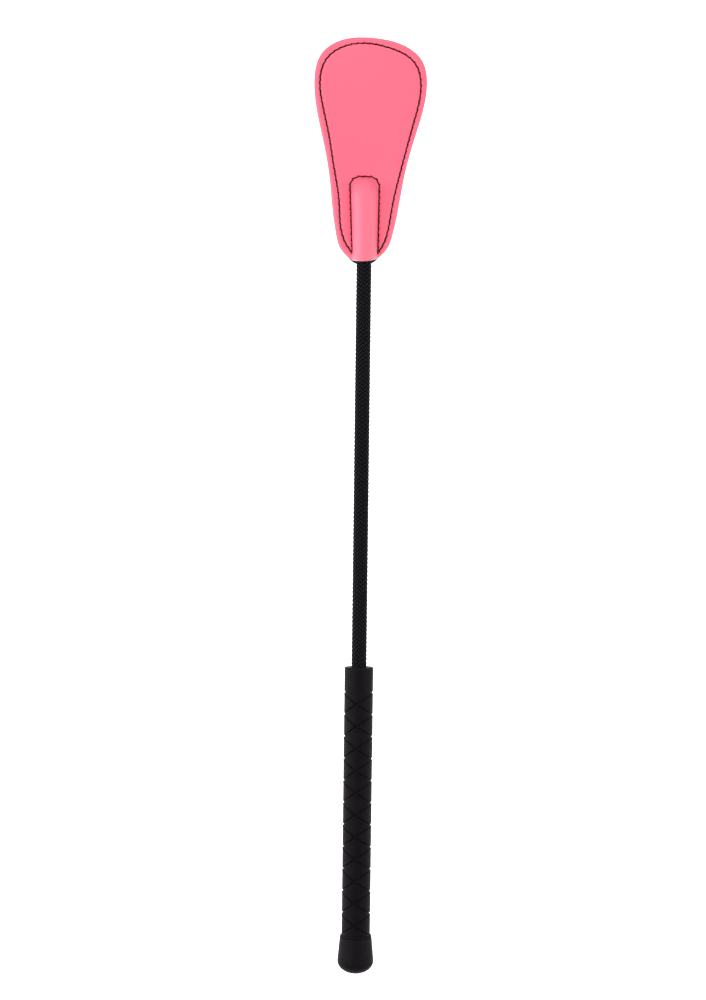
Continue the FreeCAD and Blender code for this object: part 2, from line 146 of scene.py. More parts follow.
def make_stage():
    """Pale floor, the soft lights and a faint sky."""
    mesh = bpy.data.meshes.new("floor")
    corners = ((-1, -1), (1, -1), (1, 1), (-1, 1))
    mesh.from_pydata([(x * FLOOR_HALF, y * FLOOR_HALF, cad_low.z - FLOOR_DROP) for x, y in corners], [],
                     [(0, 1, 2, 3)])
    floor = bpy.data.objects.new("floor", mesh)
    bpy.context.scene.collection.objects.link(floor)
    paper = bpy.data.materials.new("floor_paper")
    paper.use_nodes = True
    shader = paper.node_tree.nodes["Principled BSDF"]
    shader.inputs["Base Color"].default_value = (0.9, 0.9, 0.9, 1)
    shader.inputs["Roughness"].default_value = 0.9
    shader.inputs["Specular IOR Level"].default_value = 0.0
    shader.inputs["Emission Color"].default_value = (1, 1, 1, 1)
    shader.inputs["Emission Strength"].default_value = 0.8
    mesh.materials.append(paper)
    for light in LIGHTS:
        add_light(*light)
    world = bpy.data.worlds.new("sky")
    world.use_nodes = True
    sky = world.node_tree.nodes["Background"]
    sky.inputs["Color"].default_value = (1, 1, 1, 1)
    sky.inputs["Strength"].default_value = SKY_STRENGTH
    bpy.context.scene.world = world
    bpy.context.scene.view_settings.view_transform = "Standard"


# ------------------------------------------------------------------ materials
def shader_of(name, colour, roughness, **sockets):
    """A Principled material with plain values on its own sockets."""
    material = bpy.data.materials.new(name)
    material.use_nodes = True
    shader = material.node_tree.nodes["Principled BSDF"]
    shader.inputs["Base Color"].default_value = (*colour, 1)
    shader.inputs["Roughness"].default_value = roughness
    for socket, value in sockets.items():
        shader.inputs[socket.replace("_", " ")].default_value = value
    return material, shader


def add_node(material, kind, links=(), **settings):
    """A new node with its settings, and its inputs linked from other nodes' sockets."""
    node = material.node_tree.nodes.new(kind)
    for key, value in settings.items():
        if key in node.inputs:
            node.inputs[key].default_value = value
        else:
            setattr(node, key, value)
    for socket, source in dict(links).items():
        material.node_tree.links.new(source, node.inputs[socket])
    return node


def rest_place(material):
    """The surface's own place at rest, in millimetres, so that patterns stay on it when it bends."""
    return add_node(material, "ShaderNodeAttribute", attribute_name="rest_mm").outputs["Vector"]


def colour_by_tone_and_painted_light(material, shader, deep, pale):
    """Colours the surface from deep to pale by the piece's stored tone, which carries painted highlight and
    shade as well as any random drift.
    """
    tone = add_node(material, "ShaderNodeAttribute", attribute_name="tone")
    colour = ramp(material, tone.outputs["Fac"], 0.0, 1.0, deep, pale)
    material.node_tree.links.new(colour, shader.inputs["Base Color"])


def noise(material, place, scale, detail=3.0, roughness=0.5):
    """A noise pattern, 0 to 1."""
    return add_node(material, "ShaderNodeTexNoise", {"Vector": place}, Scale=scale, Detail=detail,
                    Roughness=roughness).outputs["Fac"]


def ramp(material, value, low, high, first, last):
    """Colours a value: first colour up to low, last colour from high."""
    node = add_node(material, "ShaderNodeValToRGB", {"Fac": value})
    node.color_ramp.elements[0].position = low
    node.color_ramp.elements[0].color = (*first, 1)
    node.color_ramp.elements[1].position = high
    node.color_ramp.elements[1].color = (*last, 1)
    return node.outputs["Color"]


def grey_range(material, value, low, high):
    """Maps 0..1 to low..high."""
    node = add_node(material, "ShaderNodeMapRange", {"Value": value})
    node.inputs["To Min"].default_value = low
    node.inputs["To Max"].default_value = high
    return node.outputs["Result"]


def bump(material, shader, height, distance_mm, strength, under=None):
    """Relief from a pattern, over an earlier relief where under is given."""
    links = {"Height": height}
    if under is not None:
        links["Normal"] = under
    node = add_node(material, "ShaderNodeBump", links, Distance=distance_mm * MM, Strength=strength)
    material.node_tree.links.new(node.outputs["Normal"], shader.inputs["Normal"])
    return node.outputs["Normal"]


def leather(name, pale, deep, roughness):
    """Coated leather: fine pebbled grain and shallow creases, coloured by its tone, which paints a highlight
    over the bulge and light towards the base.
    """
    material, shader = shader_of(name, pale, roughness, Specular_IOR_Level=0.4)
    links = material.node_tree.links
    place = rest_place(material)
    colour_by_tone_and_painted_light(material, shader, deep, pale)
    links.new(grey_range(material, noise(material, place, 0.3), roughness - 0.07, roughness + 0.07),
              shader.inputs["Roughness"])
    grain = add_node(material, "ShaderNodeTexVoronoi", {"Vector": place}, feature="SMOOTH_F1", Scale=1.9,
                     Smoothness=0.6)
    creases = noise(material, place, 1.1, 5.0, 0.6)
    first = bump(material, shader, grain.outputs["Distance"], 0.05, 0.5)
    bump(material, shader, creases, 0.06, 0.45, under=first)
    return material


def twist_bands(material, shader, scale):
    """The twist of a filament, as low bands across its own direction. Returns their pattern."""
    along = add_node(material, "ShaderNodeUVMap", uv_map="strand")
    place = add_node(material, "ShaderNodeMapping", {"Vector": along.outputs["UV"]}, Scale=scale,
                     Rotation=(0, 0, math.radians(28)))
    bands = add_node(material, "ShaderNodeTexWave", {"Vector": place.outputs[0]}, wave_profile="SIN",
                     Scale=1.0, Distortion=0.6, Detail=2.0)
    bump(material, shader, bands.outputs["Fac"], 0.02, 0.5)
    return bands.outputs["Fac"]


def thread(name, colour):
    """Dull sewing thread, with painted shade between the bands of its twist."""
    material, shader = shader_of(name, colour, 0.45, Specular_IOR_Level=0.02)
    bands = twist_bands(material, shader, (1.4, 3.0, 1))
    # painted shade in the grooves of the twist
    twist_shade = tuple(0.55 * c for c in colour)
    material.node_tree.links.new(ramp(material, bands, 0.2, 0.8, twist_shade, colour), shader.inputs["Base Color"])
    return material


def braided(name, pale, deep):
    """Braided yarn with a painted highlight on the crowns of its strands and painted shade where they go
    under.
    """
    material, shader = shader_of(name, pale, 0.4, Specular_IOR_Level=0.03)
    colour_by_tone_and_painted_light(material, shader, deep, pale)
    twist_bands(material, shader, (0.9, 0.9, 1))
    return material


def rubber(name, pale, deep):
    """Moulded rubber: fine matte tooth, faint dust and polish marks."""
    roughness = 0.6
    material, shader = shader_of(name, pale, roughness, Specular_IOR_Level=0.07)
    links = material.node_tree.links
    place = rest_place(material)
    dust = noise(material, place, 0.16, 5.0, 0.65)
    links.new(ramp(material, dust, 0.35, 0.7, deep, pale), shader.inputs["Base Color"])
    links.new(grey_range(material, noise(material, place, 0.45, 4.0), roughness - 0.1, roughness + 0.1),
              shader.inputs["Roughness"])
    tooth = noise(material, place, 4.5, 3.0)
    bump(material, shader, tooth, 0.03, 0.4)
    return material


def make_materials():
    """Every material that the new pieces use, by name."""
    made = {
        # The leathers run from deep to pale by their tone, which paints a highlight over the bulge and light
        # towards the base.
        "pink_leather": leather("pink_leather", (0.88, 0.158, 0.232), (0.86, 0.118, 0.19), 0.52),
        "black_leather": leather("black_leather", (0.01, 0.0095, 0.0105), (0.006, 0.006, 0.0065), 0.5),
        "seam_thread": thread("seam_thread", (0.011, 0.0006, 0.0022)),
        # The braid's pale colour is a painted highlight on the strand crowns and its deep colour a painted
        # shade where the strands go under.
        "braid": braided("braid", (0.0158, 0.0143, 0.0166), (0.0008, 0.0007, 0.0009)),
        "grip_rubber": rubber("grip_rubber", (0.0056, 0.0038, 0.0058), (0.0036, 0.0024, 0.0038)),
        "cap_rubber": rubber("cap_rubber", (0.0066, 0.005, 0.0068), (0.004, 0.0031, 0.0042)),
    }
    made["cut_edge"], _ = shader_of("cut_edge", (0.55, 0.42, 0.42), 0.8)
    made["board"], _ = shader_of("board", (0.03, 0.028, 0.03), 0.85)
    made["inner_yarn"], _ = shader_of("inner_yarn", (0.006, 0.006, 0.007), 0.9)
    made["glass_rod"], _ = shader_of("glass_rod", (0.5, 0.48, 0.38), 0.35)
    return made


# ------------------------------------------------------------------ mesh helpers
def new_piece(name, points_mm, faces, material, uvs=None):
    """A smooth mesh object from points in millimetres. uvs is one pair for each point."""
    points = np.asarray(points_mm, float)
    mesh = bpy.data.meshes.new(name)
    mesh.from_pydata((points * MM).tolist(), [], [list(map(int, f)) for f in faces])
    mesh.materials.append(material)
    rest = mesh.attributes.new("rest_mm", "FLOAT_VECTOR", "POINT")
    rest.data.foreach_set("vector", points.astype(np.float32).ravel())
    if uvs is not None:
        layer = mesh.uv_layers.new(name="strand")
        corner = np.empty(len(mesh.loops), int)
        mesh.loops.foreach_get("vertex_index", corner)
        layer.data.foreach_set("uv", np.asarray(uvs, np.float32)[corner].ravel())
    mesh.polygons.foreach_set("use_smooth", np.ones(len(mesh.polygons), bool))
    mesh.update()
    piece = bpy.data.objects.new(name, mesh)
    bpy.context.scene.collection.objects.link(piece)
    return piece


def set_tone(piece, values):
    """Stores each point's shade, 0 to 1, for the materials that read it."""
    layer = piece.data.attributes.new("tone", "FLOAT", "POINT")
    layer.data.foreach_set("value", np.asarray(values, np.float32))


def grid_faces(rows, columns, start=0):
    """Quads of a grid of points stored row by row, closed round each row."""
    j = np.arange(columns)
    quads = []
    for i in range(rows - 1):
        a = start + i * columns + j
        b = start + i * columns + (j + 1) % columns
        quads.append(np.stack([a, b, b + columns, a + columns], 1))
    return np.concatenate(quads)


def sharpen(piece, degrees):
    """Keeps edges sharper than this angle crisp under smooth shading."""
    mesh = piece.data
    bm = bmesh.new()
    bm.from_mesh(mesh)
    for edge in bm.edges:
        if len(edge.link_faces) == 2 and edge.calc_face_angle(0) > math.radians(degrees):
            edge.smooth = False
    bm.to_mesh(mesh)
    bm.free()


def revolve(name, outline, segments, material):
    """A closed outline of (radius, place along Y) turned about the crop's axis. It may touch the axis."""
    outline = np.asarray(outline, float)
    angles = np.linspace(0, 2 * math.pi, segments, endpoint=False)
    radius, place = outline[:, 0][:, None], outline[:, 1][:, None]
    ring = [radius * np.cos(angles), place + 0 * angles, radius * np.sin(angles)]
    points = np.stack(ring, -1).reshape(-1, 3)
    faces = grid_faces(len(outline), segments)
    piece = new_piece(name, points, faces, material)
    bm = bmesh.new()
    bm.from_mesh(piece.data)
    bmesh.ops.remove_doubles(bm, verts=bm.verts, dist=1e-6)
    bmesh.ops.dissolve_degenerate(bm, dist=1e-7, edges=bm.edges)
    bmesh.ops.recalc_face_normals(bm, faces=bm.faces)
    bm.to_mesh(piece.data)
    bm.free()
    return piece


def arc(centre, radius, start, end, steps):
    """Points of an arc, or of an ellipse where radius is a pair. Angles are in degrees."""
    rx, ry = radius if isinstance(radius, tuple) else (radius, radius)
    angles = np.radians(np.linspace(start, end, steps))
    return [(centre[0] + rx * math.cos(a), centre[1] + ry * math.sin(a)) for a in angles]


# ------------------------------------------------------------------ the grip
GROOVE_LEAD = 30.6
GROOVE_DEPTH = 0.85
GROOVE_FLOOR = 0.35
GROOVE_HALF = 0.85
SLEEVE_RADIUS = GRIP_RADIUS + 0.1
GROOVE_TURN = math.radians(7)
GROOVE_STRAIGHT = 0.85
LIP_HEIGHT = 0.14
LIP_REACH = 1.9
FIRST_NOTCH = 17.5
GROOVE_HEAD = 1.3
SIDE_LOSS = 0.35
GRIP_ROUNDING = 0.8
GRIP_SEGMENTS = 180


def groove_depth(angle, place):
    """Depth of the crossed grooves, two starts for each hand, straight over the front and the back."""
    half_lead = GROOVE_LEAD / 2
    crossing = GRIP_TOP - FIRST_NOTCH - half_lead / 2
    turned = angle - FRONT - GROOVE_TURN
    halves = np.round(turned / math.pi)
    within = turned - halves * math.pi
    bent = (1 - GROOVE_STRAIGHT) * within + GROOVE_STRAIGHT * math.pi / 2 * np.sin(within)
    climb = (halves * math.pi + bent) / (2 * math.pi) * GROOVE_LEAD
    steepness = 1 - GROOVE_STRAIGHT + GROOVE_STRAIGHT * math.pi / 2 * np.cos(within)
    slope = np.cos(np.arctan(GROOVE_LEAD / (2 * math.pi * GRIP_RADIUS) * steepness))
    depth = np.zeros(np.broadcast(angle, place).shape)
    lip = np.zeros(depth.shape)
    for hand in (1, -1):
        offset = (place - crossing + hand * climb + half_lead / 2) % half_lead - half_lead / 2
        across = np.abs(offset) * slope
        wall = np.clip((GROOVE_HALF - across) / (GROOVE_HALF - GROOVE_FLOOR), 0, 1)
        depth = np.maximum(depth, wall * wall * (3 - 2 * wall) * GROOVE_DEPTH)
        below = np.clip((-offset * slope - GROOVE_HALF) / LIP_REACH, 0, 1)
        lip = np.maximum(lip, LIP_HEIGHT * (1 - below) ** 2 * (offset < 0) * np.clip(1 - wall * 2, 0, 1))
    start = GRIP_TOP - FIRST_NOTCH + GROOVE_HEAD
    shallower = 1 - SIDE_LOSS * np.sin(within) ** 2
    return (depth * shallower - np.where(depth > 0.02, 0, lip)) * np.clip((start - place) / 0.5, 0, 1)


def make_grip(materials):
    """Sleeve with a rounded, slightly dished top round the shaft, and crossed grooves below its collar."""
    foot_radius = SLEEVE_RADIUS - 0.1
    step = GROOVE_LEAD / GRIP_SEGMENTS
    wall_top = GRIP_TOP - GRIP_ROUNDING
    collar_foot = GRIP_TOP - FIRST_NOTCH + 2.4
    hole, dish = SHAFT_RADIUS + 0.12, GRIP_TOP - 0.9
    top = [(hole, GRIP_TOP - 4.5), (hole, dish)] + arc((hole + 0.5, dish), 0.5, 180, 90, 5)
    top += arc((SLEEVE_RADIUS - GRIP_ROUNDING, wall_top), GRIP_ROUNDING, 90, 0, 9)
    collar = [(SLEEVE_RADIUS, y) for y in np.arange(wall_top - 1.5, collar_foot, -1.5)]
    places = np.arange(collar_foot, CAP_RIM - 6, -step)
    taper = SLEEVE_RADIUS + (foot_radius - SLEEVE_RADIUS) * (collar_foot - places) / (collar_foot - CAP_RIM)
    outline = top + collar + list(zip(taper, places))
    outline += [(foot_radius - 0.1, CAP_RIM - 7), (foot_radius - 0.1, GRIP_FOOT)]
    outline += [(foot_radius - 2.2, GRIP_FOOT)]
    outline = np.array(outline)
    angles = np.linspace(0, 2 * math.pi, GRIP_SEGMENTS, endpoint=False)
    radius = outline[:, 0][:, None] - groove_depth(angles[None, :], outline[:, 1][:, None])
    radius[: len(top)] = outline[: len(top), 0][:, None]
    radius[-3:] = outline[-3:, 0][:, None]
    place = outline[:, 1][:, None] + 0 * angles
    points = np.stack([radius * np.cos(angles), place, radius * np.sin(angles)], -1).reshape(-1, 3)
    rows = len(outline)
    faces = np.concatenate([
        grid_faces(rows, GRIP_SEGMENTS),
        [[(rows - 1) * GRIP_SEGMENTS + (j + 1) % GRIP_SEGMENTS, (rows - 1) * GRIP_SEGMENTS + j,
          j, (j + 1) % GRIP_SEGMENTS] for j in range(GRIP_SEGMENTS)],
    ])
    grip = new_piece("grip", points, faces[:, ::-1], materials["grip_rubber"])
    sharpen(grip, 50)
    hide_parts("grip_sleeve")
    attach(grip, "handle")


def make_cap(materials):
    """Cup over the grip's foot: a small rounded lip, a flared wall and an elliptical end."""
    lip, flare = 0.75, 18.0
    rim_radius = CAP_RADIUS - 1.6
    dome = CAP_RIM - flare - CAP_END
    inner = SLEEVE_RADIUS - 0.15
    crease = CAP_RIM - 1.05
    outline = [(inner, CAP_RIM - 5), (inner, CAP_RIM - 0.1)]
    outline += arc((rim_radius - lip, CAP_RIM - lip), lip, 90, 12, 7)
    outline += [(rim_radius - 0.05, crease + 0.38), (rim_radius - 0.85, crease + 0.3),
                (rim_radius - 0.85, crease - 0.25), (rim_radius + 0.02, crease - 0.35)]
    wall = np.linspace(0.1, 1, 14)
    widths = rim_radius + (CAP_RADIUS - rim_radius) * wall ** 0.92
    outline += list(zip(widths, CAP_RIM - lip - (flare - lip) * wall))
    outline += arc((0, CAP_RIM - flare), (CAP_RADIUS, dome), 0, -90, 22)[1:]
    cap = revolve("butt_cup", outline, 96, materials["cap_rubber"])
    sharpen(cap, 60)
    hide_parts("butt_cap")
    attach(cap, "handle")


# ------------------------------------------------------------------ the shaft
CARRIERS = 32
BRAID_LEAD = 46.5
BRAID_TURN = math.radians(3.5)
STRAND_HALF_WIDTH = 0.84
STRAND_HALF_DEPTH = 0.62
WEAVE_RISE = 0.9
WEAVE_SHARPNESS = 2.6
BRAID_CROWN = SHAFT_RADIUS + 0.27


def braid_family(hand, low, high):
    """The strands of one hand, over two of the other hand and under two, with a painted highlight on their
    crowns and painted shade where they go under.
    """
    per_family = CARRIERS // 2
    samples_per_turn, ring = 160, 6
    y = np.arange(low, high, BRAID_LEAD / samples_per_turn)
    steps = len(y)
    all_points, all_faces, all_uvs, all_painted_light = [], [], [], []
    lie = math.atan2(2 * math.pi * SHAFT_RADIUS, BRAID_LEAD)
    section = (np.arange(ring) + 0.5) / ring * 2 * math.pi
    across = STRAND_HALF_WIDTH * np.cos(section)
    depth = STRAND_HALF_DEPTH * np.sin(section)
    # painted highlight across the top of each strand's section
    crown_highlight = np.clip(2 * np.sin(section) - 1, 0, 1)
    for k in range(per_family):
        turn = hand * y / BRAID_LEAD * 2 * math.pi + 2 * math.pi * k / per_family + BRAID_TURN
        column = (turn - FRONT - BRAID_TURN) / (2 * math.pi) * CARRIERS
        phase = (column + (1.5 if hand > 0 else 3.5)) % 4
        over = 0.5 + 0.5 * np.tanh(WEAVE_SHARPNESS * np.sin(phase * math.pi / 2))
        radius = BRAID_CROWN - STRAND_HALF_DEPTH - WEAVE_RISE * (1 - over)
        angle = turn[:, None] - hand * across * math.cos(lie) / radius[:, None]
        place = y[:, None] + across * math.sin(lie)
        r = radius[:, None] + depth
        points = np.stack([r * np.cos(angle), place, r * np.sin(angle)], -1).reshape(-1, 3)
        all_points.append(points)
        all_faces.append(grid_faces(steps, ring, k * steps * ring))
        all_uvs.append(np.stack([np.repeat(y / math.cos(lie), ring), np.tile(across, steps)], -1))
        # painted highlight on the crowns where a strand lies over, painted shade on its sides and where it
        # goes under
        all_painted_light.append((over[:, None] * crown_highlight).ravel())
    return [np.concatenate(parts) for parts in (all_points, all_faces, all_uvs, all_painted_light)]


def make_shaft(materials):
    """Braid of two hands of strands over the yarn filler and the rod."""
    low, high = GRIP_TOP - 6, TONGUE_BASE + 12
    for name, hand in (("braid_right_hand", 1), ("braid_left_hand", -1)):
        points, faces, uvs, strand_painted_light = braid_family(hand, low, high)
        strands = new_piece(name, points, faces, materials["braid"], uvs)
        # painted highlight and shade of the strands, stored as their tone
        set_tone(strands, strand_painted_light)
        if hand > 0:
            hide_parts("shaft_braid_lower", "shaft_braid_upper")
        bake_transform(strands)
    rod = span("core_rod_upper", 0)[1]
    yarn = span("shaft_filler_upper", 0)[1] - 0.05
    for name, radius, nodes, material, slot in (
        ("filler_sleeve", yarn, ("shaft_filler_lower", "shaft_filler_upper"), "inner_yarn", "filler_yarn"),
        ("core_rod", rod, ("core_rod_lower", "core_rod_upper"), "glass_rod", "fibreglass"),
    ):
        foot, tip = span(nodes[0], 1)[0], span(nodes[1], 1)[1]
        places = np.arange(foot, tip, 3.0).tolist() + [tip]
        inside = 0.0 if name == "core_rod" else rod + 0.02
        outline = [(inside, foot)] + [(radius, y) for y in places] + [(inside, tip)]
        if inside:
            outline += [(inside, y) for y in places[::-1]]
        piece = revolve(name, outline, 32, materials[material])
        sharpen(piece, 40)
        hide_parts(*nodes)
        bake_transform(piece)


# ------------------------------------------------------------------ the tongue's outline
# Half width and height over the base at each station of the outline.
STATIONS = [(10.3, 5.0), (16.6, 12.0), (19.95, 22.0), (22.9, 38.0), (25.6, 58.0), (30.45, 82.0),
            (37.1, 108.0), (39.4, 128.0), (35.3, 145.0), (20.95, 155.5)]
TONGUE_LENGTH = 158.55
TONGUE_LEAN = math.radians(1.73)
TONGUE_SHIFT = 0.72
TONGUE_SKEW = 0.044
FRONT_TRIM, CORE_TRIM = 1.3, 2.0
SEAM_START = 8.1
SEAM_END_OUT, SEAM_END_UP = 0.9, 1.2
# Share of the way round the outline, and the seam's distance from the edge there.
SEAM_INSETS = [(0.02, 3.5), (0.05, 3.9), (0.1, 4.6), (0.15, 3.8), (0.21, 3.25), (0.27, 4.0),
               (0.34, 4.3), (0.39, 5.45), (0.46, 5.5), (0.55, 5.15), (0.605, 5.35), (0.655, 4.1),
               (0.71, 4.75), (0.77, 4.7), (0.83, 4.2), (0.885, 5.25), (0.94, 4.1), (0.975, 4.85)]
STITCH_PITCH = 4.3
POCKET_FOOT, POCKET_TOP, POCKET_HEIGHT, POCKET_CORNER = 8.85, 10.2, 61.4, 6.5
POCKET_SHIFT = 0.8
POCKET_LEAN = math.radians(1.0)


def tongue_place(across, up):
    """A place on the tongue, from its own leaning centre line and base, in the crop's frame."""
    share = up / TONGUE_LENGTH
    height = up - TONGUE_SKEW * across * share ** 4
    x = across * math.cos(TONGUE_LEAN) + height * math.sin(TONGUE_LEAN) - TONGUE_SHIFT
    y = height * math.cos(TONGUE_LEAN) - across * math.sin(TONGUE_LEAN) * share
    return x, TONGUE_BASE + y


def smooth_curve(points, spacing):
    """A natural cubic spline through points, sampled evenly."""
    points = np.asarray(points, float)
    t = np.concatenate([[0], np.cumsum(np.linalg.norm(np.diff(points, axis=0), axis=1))])
    gap = np.diff(t)
    count = len(points)
    system = np.zeros((count, count))
    right = np.zeros((count, 2))
    system[0, 0] = system[-1, -1] = 1
    for i in range(1, count - 1):
        system[i, i - 1: i + 2] = gap[i - 1], 2 * (gap[i - 1] + gap[i]), gap[i]
        right[i] = 6 * ((points[i + 1] - points[i]) / gap[i] - (points[i] - points[i - 1]) / gap[i - 1])
    second = np.linalg.solve(system, right)
    fine = np.linspace(0, t[-1], 4000)
    i = np.clip(np.searchsorted(t, fine, side="right") - 1, 0, count - 2)
    a, b = ((t[i + 1] - fine) / gap[i])[:, None], ((fine - t[i]) / gap[i])[:, None]
    curve = a * points[i] + b * points[i + 1]
    curve += ((a ** 3 - a) * second[i] + (b ** 3 - b) * second[i + 1]) * (gap[i] ** 2)[:, None] / 6
    return resample(curve, spacing)


def resample(line, spacing):
    """The same line with evenly spaced points."""
    line = np.asarray(line, float)
    walked = np.concatenate([[0], np.cumsum(np.linalg.norm(np.diff(line, axis=0), axis=1))])
    count = max(2, int(round(walked[-1] / spacing)) + 1)
    wanted = np.linspace(0, walked[-1], count)
    return np.stack([np.interp(wanted, walked, line[:, c]) for c in range(line.shape[1])], 1)


def inward(line):
    """Unit normals to the left of a line's direction."""
    direction = np.gradient(line, axis=0)
    direction /= np.linalg.norm(direction, axis=1)[:, None]
    return np.stack([-direction[:, 1], direction[:, 0]], 1)


def side_curve(spacing, inset=0.0):
    """The tongue's sides and top, from its right corner to its left one, moved inwards by inset."""
    stations = STATIONS + [(0.0, TONGUE_LENGTH)] + [(-a, u) for a, u in reversed(STATIONS)]
    line = smooth_curve([tongue_place(a, u) for a, u in stations], spacing)
    return line + inward(line) * inset


def base_line(spacing, trim):
    """The rounded base from the left to the right corner, its lowest place trim above the black panel's."""
    half, up = STATIONS[0]
    left, low, right = (np.array(tongue_place(a, u)) for a, u in ((-half, up), (0, trim), (half, up)))
    to_left, to_right = left - low, right - low
    sides = np.array([to_left, to_right]) * 2
    centre = low + np.linalg.solve(sides, [to_left @ to_left, to_right @ to_right])
    start, end = (math.atan2(*(p - centre)[::-1]) % (2 * math.pi) for p in (left, right))
    radius = np.linalg.norm(low - centre)
    angles = np.linspace(start, end, 200)
    return resample(centre + radius * np.stack([np.cos(angles), np.sin(angles)], 1), spacing)


def pocket_place(across, up):
    """A place on the pocket's seam, which leans a little to the other side than the tongue."""
    return across + POCKET_SHIFT - up * math.sin(POCKET_LEAN), TONGUE_BASE + up


def pocket_line(spacing):
    """The pocket's seam, from its lower right end over its rounded top to its lower left end."""
    r, high = POCKET_CORNER, POCKET_HEIGHT
    right = [(POCKET_FOOT, SEAM_START), (POCKET_TOP, high - r)]
    right += arc((POCKET_TOP - r, high - r), (r, r), 0, 90, 10)[1:]
    line = right + [(-a, u) for a, u in reversed(right)]
    return resample([pocket_place(a, u) for a, u in line], spacing)


def edge_line(spacing):
    """The edge seam, from beside the pocket seam's right end round the tongue to beside its left end."""
    outline = side_curve(0.1)
    normals = inward(outline)
    across, up = POCKET_FOOT + SEAM_END_OUT, SEAM_START + SEAM_END_UP
    places = [pocket_place(across, up)]
    for share, inset in SEAM_INSETS:
        i = round(share * (len(outline) - 1))
        places.append(outline[i] + normals[i] * inset)
    places.append(pocket_place(-across, up))
    return smooth_curve(places, spacing)


class Nearest:
    """Distance to the nearest of a line's points, and that point's number."""

    def __init__(self, line):
        self.tree = KDTree(len(line))
        for i, (x, y) in enumerate(line):
            self.tree.insert((x, y, 0), i)
        self.tree.balance()

    def __call__(self, points):
        found = [self.tree.find((x, y, 0)) for x, y in points]
        return np.array([f[2] for f in found]), np.array([f[1] for f in found])


FINE = 0.12
FINE_RINGS = (0.12, 0.3, 0.55, 0.85)
RIPPLE_SIZE, FRONT_RIPPLE, BACK_RIPPLE = 17, 0.06, 0.03
BACK_RELIEF = 0.8
SIDES = side_curve(FINE)
EDGE_SEAM = edge_line(FINE)
POCKET_SEAM = pocket_line(FINE)
to_sides = Nearest(SIDES)
to_edge_seam, to_pocket_seam = Nearest(EDGE_SEAM), Nearest(POCKET_SEAM)
EDGE_HOLES = resample(EDGE_SEAM, STITCH_PITCH)
POCKET_HOLES = resample(POCKET_SEAM, STITCH_PITCH)
to_holes = Nearest(np.concatenate([EDGE_HOLES, POCKET_HOLES]))


# ------------------------------------------------------------------ the tongue's panels
def bulge(points):
    """Height of the front panel's outside over its flat part, where it goes over the shaft."""
    rise = SHAFT_RADIUS + (FRONT_TOP - CORE_TOP) - FRONT_TOP
    up = points[:, 1] - TONGUE_BASE
    middle = (POCKET_SHIFT - up * math.sin(POCKET_LEAN)) * 0.7
    share = np.clip(up / (POCKET_HEIGHT - POCKET_CORNER), 0, 1)
    half = POCKET_FOOT + (POCKET_TOP - POCKET_FOOT) * share - 0.5
    x = (points[:, 0] - middle) / half
    fade_from, fade_to = SHAFT_TIP - TONGUE_BASE - 7.0, POCKET_HEIGHT - 0.6
    y = np.clip((up - fade_from) / (fade_to - fade_from), 0, None)
    return rise * np.clip(1 - np.abs(x) ** 2.5 - y * y, 0, None) ** 0.72


def rounding(distance, width, drop):
    """How far a surface falls at this distance from an edge rounded over width."""
    share = np.clip(1 - distance / width, 0, 1)
    return drop * (1 - np.sqrt(1 - share ** 2))


def seam_sink(points):
    """The seams' valley, with a narrow channel along its middle."""
    edge, _ = to_edge_seam(points)
    pocket, _ = to_pocket_seam(points)
    seam = np.minimum(edge, pocket)
    return 0.22 * np.exp(-((seam / 1.9) ** 2)) + 0.3 * np.exp(-((seam / 0.7) ** 2))


def seam_relief(points):
    """The seams' valley with a dimple at each stitch hole."""
    hole, _ = to_holes(points)
    return -seam_sink(points) - 0.4 * np.exp(-((hole / 0.5) ** 2))


def ripple(points, size, height):
    """Gentle unevenness of hand-worked leather."""
    x, y = points[:, 0] / size, points[:, 1] / size
    return height * (np.sin(1.3 * x + 0.7 * y + 0.4) + np.sin(0.6 * x - 1.1 * y + 2.1)) / 2


def panel_points(base):
    """Points that fill the outline, dense along the edges and the seams, with the outline first."""
    outline = np.concatenate([side_curve(0.7), base[1:-1]])
    to_base = Nearest(resample(base, 0.1))
    groups = [outline]
    for inset in (*FINE_RINGS, 1.2, 1.6, 2.0, 2.4, 2.8, 3.2):
        ring = side_curve(0.8, inset)
        clear, _ = to_sides(ring)
        groups.append(ring[clear > inset - 0.08])
    for seam in (pocket_line(0.7), edge_line(0.7)):
        away = inward(seam)
        for shift in (-2.2, -1.7, -1.3, -0.95, -0.65, -0.4, -0.2, 0, 0.2, 0.4, 0.65, 0.95, 1.3, 1.7, 2.2):
            groups.append(seam + away * shift)
    low, high = outline.min(0), outline.max(0)
    for spacing, in_pocket in ((1.3, False), (0.75, True)):
        xs, ys = np.arange(low[0], high[0], spacing), np.arange(low[1], high[1], spacing)
        grid = np.stack(np.meshgrid(xs, ys), -1).reshape(-1, 2)
        grid = grid[inside_outline(grid, outline)]
        sides, _ = to_sides(grid)
        pocket, _ = to_pocket_seam(grid)
        edge, _ = to_edge_seam(grid)
        within = pocket_inside(grid)
        keep = (sides > 3.4) & (pocket > 2.3) & (edge > 2.3) & (within if in_pocket else ~within)
        groups.append(grid[keep])
    filling = np.concatenate(groups[1:])
    away_from_base, _ = to_base(filling)
    filling = filling[(away_from_base > 0.9) & inside_outline(filling, outline)]
    groups = [outline, filling]
    for up in FINE_RINGS:
        ring = base[1:-1] + [0, up]
        groups.append(ring[inside_outline(ring, outline)])
    return outline, np.concatenate(groups)


